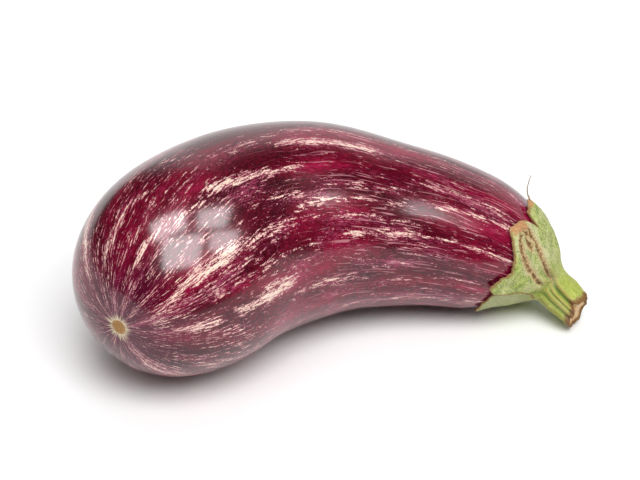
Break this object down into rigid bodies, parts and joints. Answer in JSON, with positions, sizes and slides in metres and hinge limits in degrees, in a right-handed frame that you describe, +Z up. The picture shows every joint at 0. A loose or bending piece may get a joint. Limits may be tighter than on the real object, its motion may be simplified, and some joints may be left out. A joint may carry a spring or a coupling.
{
  "type": "eggplant",
  "caption": "Striped eggplant lying on its side: a curved club-shaped fruit with a lobed green calyx and a short ribbed stalk.",
  "frame": {"origin": "under the middle of the whole eggplant's box, on the surface that it lies on", "axes": "+X along the chord from the blossom end to the stalk end, +Z up from the surface, +Y towards the outer, convex side of the bend"},
  "size_m": [0.2074, 0.1056, 0.0876],
  "materials": {
    "aubergine_skin": "waxy, glossy skin, crimson purple with cream and pink streaks",
    "calyx_green": "matt, scurfy green with tan edges",
    "stalk_green": "matt, ribbed green going tan at the cut",
    "dry_fibre": "dry and matt"
  },
  "bodies": {
    "root": {"fruit": "aubergine_skin", "calyx": "calyx_green", "stalk": "stalk_green", "sepal_fibre": "dry_fibre"}
  },
  "joints": []
}
